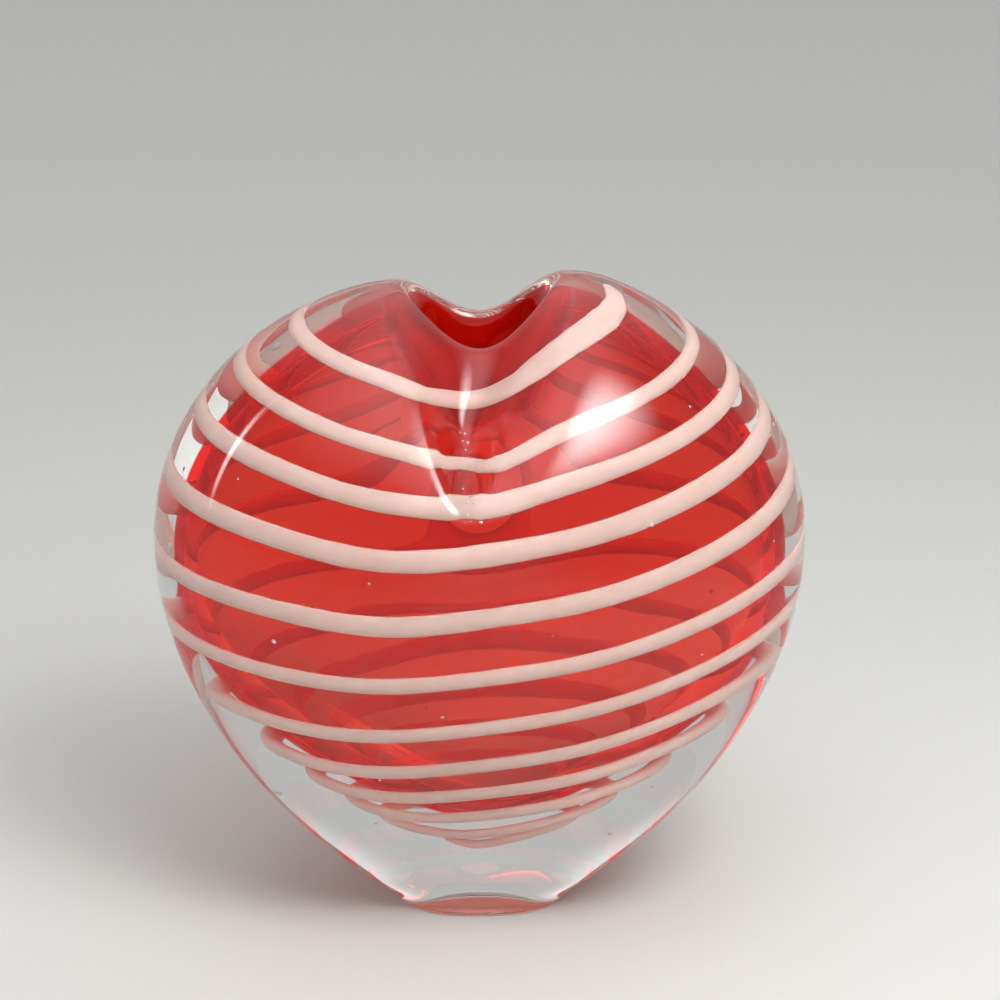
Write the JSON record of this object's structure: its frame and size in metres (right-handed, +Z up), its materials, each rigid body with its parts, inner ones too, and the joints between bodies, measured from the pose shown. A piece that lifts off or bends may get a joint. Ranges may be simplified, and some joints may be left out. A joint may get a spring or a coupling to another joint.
{
  "type": "glass heart paperweight",
  "caption": "Heart-shaped paperweight of cased blown glass: a hollow ruby core open at a small mouth between the lobes, a white trail spiralling round it, and a thick clear body on a flat base.",
  "frame": {"origin": "centre of the flat polished base, on the surface it stands on", "axes": "+Z up, +X to the viewer's right across both lobes, +Y towards the back, so the front faces -Y"},
  "size_m": [0.099, 0.067, 0.0991],
  "materials": {
    "clear_glass": "fire polished",
    "opal_glass": "opaque, fused under clear glass",
    "ruby_glass": "transparent, fire polished"
  },
  "bodies": {
    "root": {"outer_casing": "clear_glass", "clear_gather": "clear_glass", "white_trail": "opal_glass", "ruby_lining": "ruby_glass"}
  },
  "joints": []
}
